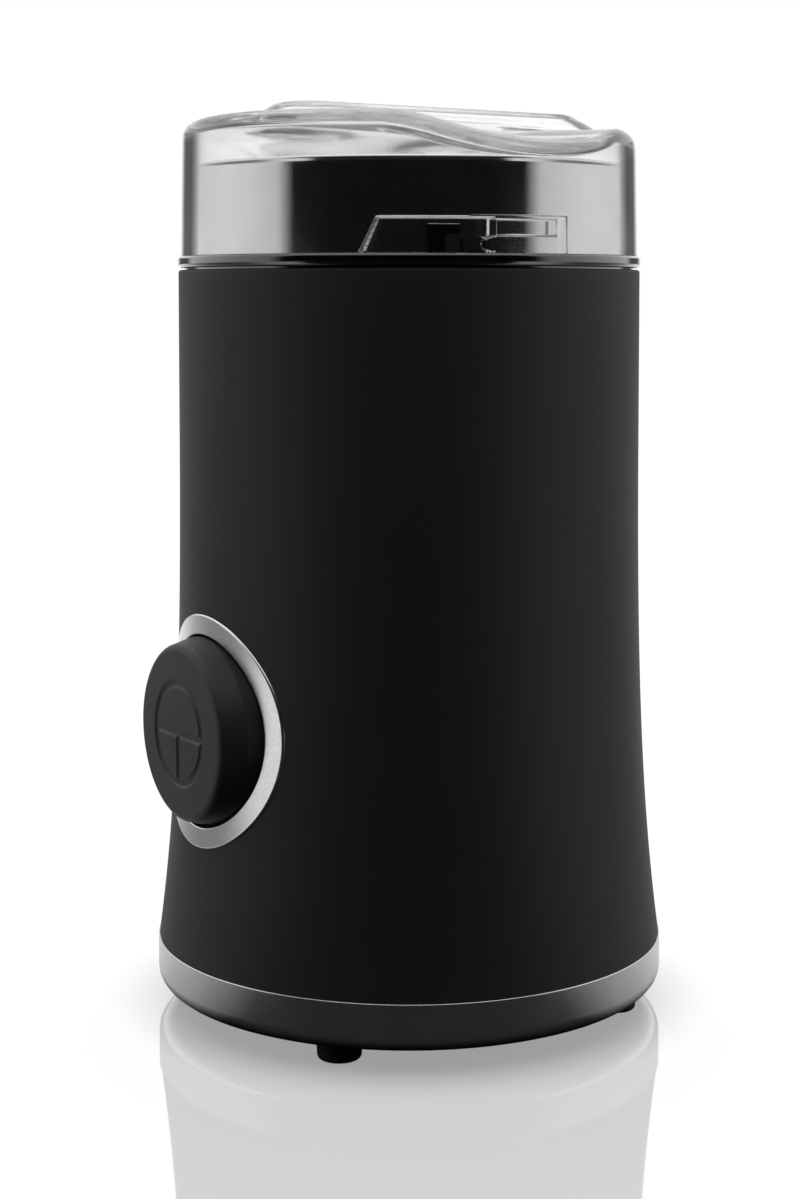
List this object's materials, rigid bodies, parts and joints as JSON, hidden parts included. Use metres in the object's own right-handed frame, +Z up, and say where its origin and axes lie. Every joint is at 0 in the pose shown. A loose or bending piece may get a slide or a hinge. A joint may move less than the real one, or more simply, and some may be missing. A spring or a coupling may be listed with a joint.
{
  "type": "electric coffee grinder",
  "caption": "Blade coffee grinder: black flared body, silver base ring and button ring, large press button, steel bowl with a spinning blade, clear twist-lock lid.",
  "frame": {"origin": "on the table, under the motor axis at the middle of the base ring", "axes": "+Z up along the motor axis, the press button faces -Y, +X to the right seen from the front"},
  "size_m": [0.0998, 0.1011, 0.1753],
  "materials": {
    "soft_black": "soft-touch black coating",
    "silver_trim": "satin silver plating",
    "button_black": "satin black moulding",
    "gloss_black": "gloss black moulding",
    "clear_lid": "clear polished moulding",
    "polished_steel": "polished stainless steel",
    "machined_steel": "zinc plated steel",
    "lamination_steel": "varnished steel laminations",
    "copper": "enamelled copper",
    "bronze": "sintered bronze",
    "carbon": "pressed carbon",
    "inner_plastic": "black moulding",
    "pale_plastic": "natural moulding",
    "black_rubber": "moulded rubber",
    "lead_sleeve": "insulated lead"
  },
  "bodies": {
    "housing": {"base_plate": "inner_plastic", "base_ring": "silver_trim", "base_screws": "machined_steel", "body_shell": "soft_black", "bowl_gasket": "black_rubber", "bowl_nut": "polished_steel", "bowl_seal": "black_rubber", "brush_holder_left": "inner_plastic", "brush_holder_right": "inner_plastic", "brush_left": "carbon", "brush_right": "carbon", "brush_spring_left": "machined_steel", "brush_spring_right": "machined_steel", "button_bezel": "silver_trim", "button_guide": "inner_plastic", "button_spring": "machined_steel", "carrier_screws": "machined_steel", "cord_gland": "black_rubber", "field_coil_front": "copper", "field_coil_rear": "copper", "foot_1": "black_rubber", "foot_2": "black_rubber", "foot_3": "black_rubber", "foot_4": "black_rubber", "grinding_bowl": "polished_steel", "guide_screws": "machined_steel", "interlock_screw": "machined_steel", "interlock_switch": "inner_plastic", "lower_bracket": "machined_steel", "lower_bush": "bronze", "main_switch_body": "inner_plastic", "motor_bolts": "machined_steel", "motor_carrier": "inner_plastic", "motor_dampers": "black_rubber", "motor_lead_left": "lead_sleeve", "motor_lead_right": "lead_sleeve", "shaft_seal": "black_rubber", "spacer_sleeves": "machined_steel", "stator_core": "lamination_steel", "switch_screws": "machined_steel", "switch_terminals": "bronze", "top_collar": "gloss_black", "upper_bracket": "machined_steel", "upper_bush": "bronze"},
    "rotor": {"motor_shaft": "machined_steel", "armature_core": "lamination_steel", "armature_winding": "copper", "commutator": "copper", "cooling_fan": "pale_plastic", "thrust_washers": "pale_plastic", "blade_seat": "machined_steel", "blade": "polished_steel", "blade_nut": "polished_steel"},
    "button": {"button_cap": "button_black", "stem_clip": "machined_steel"},
    "switch_plunger": {"main_switch_plunger": "pale_plastic"},
    "lid": {"lid": "clear_lid"},
    "interlock": {"interlock_rod": "pale_plastic", "interlock_plunger": "pale_plastic"}
  },
  "joints": [
    {"name": "rotor_spin", "type": "hinge", "parent": "housing", "child": "rotor", "pos_m": [0, 0, 0.1], "axis": [0, 0, 1], "continuous": true},
    {"name": "button_press", "type": "slide", "parent": "housing", "child": "button", "axis": [0, 1, 0], "range_m": [0, 0.003], "stiffness_N_per_m": 500, "springref_m": -0.004, "deforming": ["button_spring"]},
    {"name": "switch_press", "type": "slide", "parent": "housing", "child": "switch_plunger", "axis": [0, 1, 0], "range_m": [0, 0.003]},
    {"name": "lid_lift", "type": "slide", "parent": "housing", "child": "lid", "axis": [0, 0, 1], "range_m": [0, 0.08]},
    {"name": "interlock_press", "type": "slide", "parent": "housing", "child": "interlock", "axis": [0, 0, -1], "range_m": [0, 0.0025], "stiffness_N_per_m": 150, "springref_m": -0.003}
  ],
  "couplings": [
    {"joint": "switch_press", "follows": "button_press", "ratio": 1}
  ]
}
